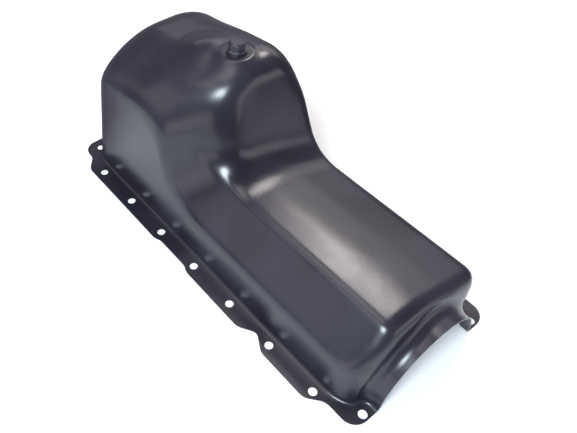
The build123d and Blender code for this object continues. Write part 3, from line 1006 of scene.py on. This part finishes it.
# painted shade on the floor: beyond these distances from the middle, towards this heading, its colour
# darkens and it throws less light back
SHADE_HEADING = 130
SHADE_START = 0.030
SHADE_END = 0.090
TARGET = (0.0, 0.0, 0.10)       # what the lamps point at
FLOOR_SIDES = 96
FLOOR_CLOUD = 0.985             # the floor's darker clouds against its colour
WHITE = (1.0, 1.0, 1.0)


def floor_material(settings):
    """White matt floor, faintly cloudy, with painted shade on its rear: darker there for all but
    camera rays, so it throws less light back onto the pan.
    """
    material, tree, shader = new_material("studio_floor")
    coords = add(tree, "ShaderNodeTexCoord").outputs["Object"]
    cloud = add(tree, "ShaderNodeTexNoise", in_Scale=1.2, in_Detail=2.0)
    tree.links.new(coords, cloud.inputs["Vector"])
    colour = tuple(settings.floor_colour)
    clouded = tuple(FLOOR_CLOUD * c for c in colour)
    tint = mix_colour(tree, cloud.outputs["Fac"], colour, clouded)
    across = add(tree, "ShaderNodeVectorMath", operation="DOT_PRODUCT")
    tree.links.new(coords, across.inputs[0])
    across.inputs[1].default_value = unit(SHADE_HEADING, 0)
    shade = map_range(tree, across.outputs["Value"], SHADE_START, SHADE_END, 0.0, 1.0)
    # painted shade: the floor's colour goes darker towards the rear, for all rays but the camera's
    bounce_with_painted_shade = mix_colour(tree, shade, tint, tuple(settings.rear_floor_painted_shade))
    camera_ray = add(tree, "ShaderNodeLightPath").outputs["Is Camera Ray"]
    tree.links.new(mix_colour(tree, camera_ray, bounce_with_painted_shade, tint), shader.inputs["Base Color"])
    shader.inputs["Roughness"].default_value = 0.9
    shader.inputs["Specular IOR Level"].default_value = 0.1
    return material


def soft_box(name, heading, height, width, depth, radiance, tint):
    """Rectangular lamp that faces the pan; its power is radiance times area times pi."""
    lamp = bpy.data.lights.new(name, "AREA")
    lamp.shape = "RECTANGLE"
    lamp.size, lamp.size_y = width, depth
    lamp.energy = radiance * width * depth * math.pi
    lamp.color = tint
    obj = bpy.data.objects.new(name, lamp)
    bpy.context.scene.collection.objects.link(obj)
    obj.location = np.array(TARGET) + LIGHT_DISTANCE * unit(heading, height)
    obj.rotation_euler = (math.radians(90 - height), 0, math.radians(heading + 90))
    obj.visible_camera = False


def studio_world(surround):
    """Even light from the surround; the camera itself sees white where the floor ends."""
    world = bpy.data.worlds.new("studio")
    world.use_nodes = True
    tree = world.node_tree
    camera_ray = add(tree, "ShaderNodeLightPath").outputs["Is Camera Ray"]
    shown = mix_colour(tree, camera_ray, surround, WHITE)
    tree.links.new(shown, tree.nodes["Background"].inputs["Color"])
    return world


class OILPAN_OT_stage(bpy.types.Operator):
    """Makes the floor, the soft boxes, the surround and the camera"""
    bl_idname = "oilpan.stage"
    bl_label = "Make stage"

    def execute(self, context):
        scene = context.scene
        settings = scene.oilpan_stage
        angle = np.linspace(0, 2 * math.pi, FLOOR_SIDES, endpoint=False)
        radius = np.array([0, settings.floor_radius])[:, None]
        points = np.stack([
            radius * np.cos(angle), radius * np.sin(angle), 0 * radius * angle], -1)
        floor = grid_mesh("floor", points, True)
        floor.data.materials.append(floor_material(settings))
        for box in SOFT_BOXES:
            soft_box(*box)
        scene.world = studio_world(tuple(settings.surround))
        lens = bpy.data.cameras.new("camera")
        lens.lens = settings.camera_lens
        lens.sensor_width = 36.0
        lens.shift_x = settings.camera_shift
        lens.clip_start = 0.01
        camera = bpy.data.objects.new("camera", lens)
        scene.collection.objects.link(camera)
        camera.location = settings.camera_place
        camera.rotation_euler = (math.pi / 2 - settings.camera_tilt, 0, settings.camera_turn)
        scene.camera = camera
        scene.view_settings.view_transform = "Standard"
        return {"FINISHED"}


# ---------------------------------------------------------------- panel and registration
class OILPAN_PT_panel(bpy.types.Panel):
    """Settings and steps of the oil pan"""
    bl_idname = "OILPAN_PT_panel"
    bl_label = "Oil Pan"
    bl_space_type = "VIEW_3D"
    bl_region_type = "UI"
    bl_category = "Oil Pan"

    def draw(self, context):
        scene = context.scene
        for group in (scene.oilpan_pressing, scene.oilpan_plug, scene.oilpan_paint,
                      scene.oilpan_stage):
            box = self.layout.box()
            for name in group.__annotations__:
                box.prop(group, name)
        for step in STEPS:
            self.layout.operator(step)


CLASSES = (
    OilPanPaintSettings, OilPanPressingSettings, OilPanPlugSettings, OilPanStageSettings,
    OILPAN_OT_finishes, OILPAN_OT_pressing, OILPAN_OT_drain_plug, OILPAN_OT_stage,
    OILPAN_PT_panel,
)
STEPS = ("oilpan.finishes", "oilpan.pressing", "oilpan.drain_plug", "oilpan.stage")


def register():
    for cls in CLASSES:
        bpy.utils.register_class(cls)
    bpy.types.Scene.oilpan_paint = PointerProperty(type=OilPanPaintSettings)
    bpy.types.Scene.oilpan_pressing = PointerProperty(type=OilPanPressingSettings)
    bpy.types.Scene.oilpan_plug = PointerProperty(type=OilPanPlugSettings)
    bpy.types.Scene.oilpan_stage = PointerProperty(type=OilPanStageSettings)


def unregister():
    del bpy.types.Scene.oilpan_stage
    del bpy.types.Scene.oilpan_plug
    del bpy.types.Scene.oilpan_pressing
    del bpy.types.Scene.oilpan_paint
    for cls in reversed(CLASSES):
        bpy.utils.unregister_class(cls)


def main():
    """Registers the add-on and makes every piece."""
    register()
    for step in STEPS:
        group, name = step.split(".")
        getattr(getattr(bpy.ops, group), name)()


if __name__ == "__main__":
    main()
